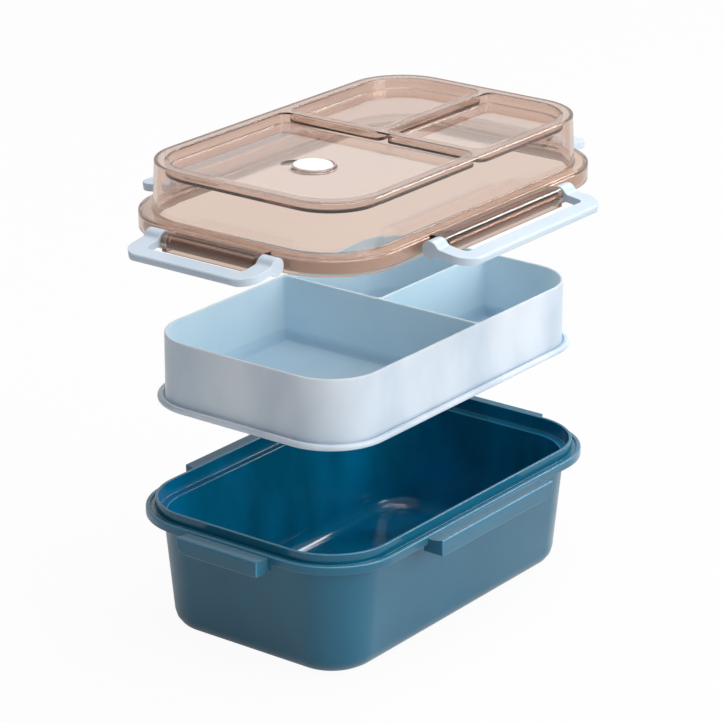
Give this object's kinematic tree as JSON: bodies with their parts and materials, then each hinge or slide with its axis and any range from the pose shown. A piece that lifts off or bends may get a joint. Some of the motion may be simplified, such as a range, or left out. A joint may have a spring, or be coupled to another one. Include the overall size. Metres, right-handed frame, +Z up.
{
  "type": "bento lunch box",
  "caption": "Rectangular lunch box opened out in layers: deep outer box, divided tray, clear domed lid with a steam valve, and hinged side latches.",
  "frame": {"origin": "centre of the outer box's footprint, at its underside", "axes": "+X along the long sides, from the large compartment's end to the small compartments' end; +Y from the front long side to the back; +Z up"},
  "size_m": [0.2904, 0.208, 0.2473],
  "materials": {
    "outer_box": "dark teal polypropylene, glossy inside and satin outside",
    "tray": "light blue polypropylene, satin",
    "lid_shell": "clear tea-brown styrene plastic, polished",
    "lid_gasket": "translucent silicone",
    "valve_stopper": "white silicone, matte",
    "latch": "light blue polypropylene, satin"
  },
  "bodies": {
    "box": {"outer_box": "outer_box"},
    "tray": {"tray": "tray"},
    "lid": {"lid_shell": "lid_shell", "lid_gasket": "lid_gasket"},
    "valve": {"valve_stopper": "valve_stopper"},
    "latch_front": {"latch_front": "latch"},
    "latch_right": {"latch_right": "latch"},
    "latch_back": {"latch_back": "latch"},
    "latch_left": {"latch_left": "latch"}
  },
  "joints": [
    {"name": "tray_lift", "type": "slide", "parent": "box", "child": "tray", "axis": [0, 0, 1], "range_m": [-0.0601, 0]},
    {"name": "lid_lift", "type": "slide", "parent": "tray", "child": "lid", "axis": [0, 0, 1], "range_m": [-0.0872, 0]},
    {"name": "valve_lift", "type": "slide", "parent": "lid", "child": "valve", "axis": [0, 0, 1], "range_m": [0, 0.003]},
    {"name": "latch_front_hinge", "type": "hinge", "parent": "lid", "child": "latch_front", "pos_m": [0, -0.0808, 0.2184], "axis": [-1, 0, 0], "range_deg": [-82, 30]},
    {"name": "latch_right_hinge", "type": "hinge", "parent": "lid", "child": "latch_right", "pos_m": [0.122, 0, 0.2184], "axis": [0, -1, 0], "range_deg": [-82, 30]},
    {"name": "latch_back_hinge", "type": "hinge", "parent": "lid", "child": "latch_back", "pos_m": [0, 0.0808, 0.2184], "axis": [1, 0, 0], "range_deg": [-82, 30]},
    {"name": "latch_left_hinge", "type": "hinge", "parent": "lid", "child": "latch_left", "pos_m": [-0.122, 0, 0.2184], "axis": [0, 1, 0], "range_deg": [-82, 30]}
  ]
}
